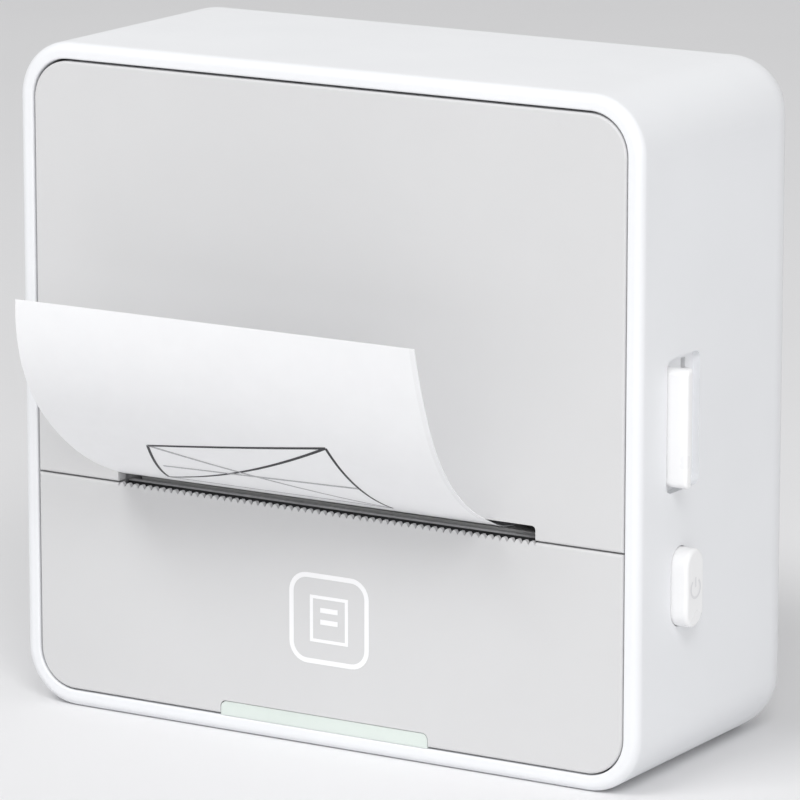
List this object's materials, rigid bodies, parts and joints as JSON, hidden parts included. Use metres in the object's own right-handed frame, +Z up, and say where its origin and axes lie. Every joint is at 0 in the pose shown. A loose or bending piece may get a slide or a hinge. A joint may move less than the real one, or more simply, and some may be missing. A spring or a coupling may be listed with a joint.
{
  "type": "portable thermal printer",
  "caption": "Pocket-size square thermal printer that stands upright, with a hinged paper cover, curling paper strip, side release slide and power button.",
  "frame": {"origin": "middle of the bottom face of the case, on the surface that the printer stands on", "axes": "+Z up, +Y from the front panel to the back, +X to the right seen from the front"},
  "size_m": [0.089, 0.0614, 0.0827],
  "materials": {
    "white_shell": "fine satin moulded finish",
    "grey_panel": "very fine matt texture",
    "light_diffuser": "translucent pale green",
    "button_white": "smooth semi-gloss",
    "frame_plastic": "plain moulded inner frame",
    "guide_grey": "smooth paper lip",
    "steel": "plated steel",
    "platen_rubber": "ground silicone rubber",
    "gear_plastic": "natural acetal",
    "aluminium": "machined plate",
    "ceramic": "glazed print head substrate",
    "board_green": "solder mask",
    "chip_black": "moulded packages",
    "connector_white": "moulded headers",
    "led_yellow": "light emitters",
    "ribbon": "amber flexible film",
    "paper": "smooth thermal paper",
    "cardboard": "wound core",
    "battery_wrap": "laminate pouch"
  },
  "bodies": {
    "body": {"outer_shell": "white_shell", "lower_panel": "grey_panel", "light_bar": "light_diffuser", "light_board": "board_green", "light_leds": "led_yellow", "hinge_pins": "steel", "idler_axle": "steel", "gear_plate": "steel", "gear_plate_screws": "steel", "stepper_motor": "steel", "motor_screws": "steel", "chassis": "frame_plastic", "panel_screws": "steel", "case_screws": "steel", "head_springs": "steel", "head_ribbon": "ribbon", "paper_guide": "guide_grey", "paper_web": "paper", "release_spring": "steel", "power_switch": "chip_black", "switch_board": "board_green", "main_board": "board_green", "board_screws": "steel", "board_chips": "chip_black", "board_connectors": "connector_white", "charge_socket": "steel", "battery": "battery_wrap"},
    "cover": {"upper_cover": "grey_panel", "cover_frame": "frame_plastic", "cover_screws": "steel", "platen_bushes": "gear_plastic", "printed_strip": "paper"},
    "platen": {"platen_shaft": "steel", "platen_rubber": "platen_rubber", "platen_gear": "gear_plastic"},
    "idler": {"idler_gear": "gear_plastic"},
    "rotor": {"motor_pinion": "gear_plastic"},
    "roll": {"paper_roll": "paper", "roll_core": "cardboard"},
    "head": {"head_sink": "aluminium", "print_head": "ceramic"},
    "release": {"release_button": "button_white", "release_slide": "gear_plastic"},
    "power": {"power_button": "button_white", "switch_plunger": "connector_white"}
  },
  "joints": [
    {"name": "cover_hinge", "type": "hinge", "parent": "body", "child": "cover", "pos_m": [0, -0.0179, 0.0744], "axis": [-1, 0, 0], "range_deg": [0, 105]},
    {"name": "platen_spin", "type": "hinge", "parent": "cover", "child": "platen", "pos_m": [0, -0.0139, 0.0337], "axis": [1, 0, 0], "continuous": true},
    {"name": "idler_spin", "type": "hinge", "parent": "body", "child": "idler", "pos_m": [0, -0.00608, 0.03064], "axis": [1, 0, 0], "continuous": true},
    {"name": "motor_spin", "type": "hinge", "parent": "body", "child": "rotor", "pos_m": [0, 0.0041, 0.0285], "axis": [1, 0, 0], "continuous": true},
    {"name": "roll_spin", "type": "hinge", "parent": "body", "child": "roll", "pos_m": [0, 0.0015, 0.0585], "axis": [1, 0, 0], "continuous": true},
    {"name": "head_tilt", "type": "hinge", "parent": "body", "child": "head", "pos_m": [0, -0.0063, 0.02765], "axis": [1, 0, 0], "range_deg": [0, 1.5], "stiffness_Nm_per_rad": 1, "springref_deg": -2.86},
    {"name": "release_slide", "type": "slide", "parent": "body", "child": "release", "axis": [0, 0, 1], "range_m": [0, 0.00085], "stiffness_N_per_m": 300, "springref_m": -0.002, "deforming": ["release_spring"]},
    {"name": "power_press", "type": "slide", "parent": "body", "child": "power", "axis": [-1, 0, 0], "range_m": [0, 0.0004], "stiffness_N_per_m": 1500, "springref_m": -0.0004}
  ],
  "couplings": [
    {"joint": "idler_spin", "follows": "platen_spin", "ratio": -0.75},
    {"joint": "motor_spin", "follows": "platen_spin", "ratio": 2.5},
    {"joint": "roll_spin", "follows": "platen_spin", "ratio": 0.27778}
  ]
}
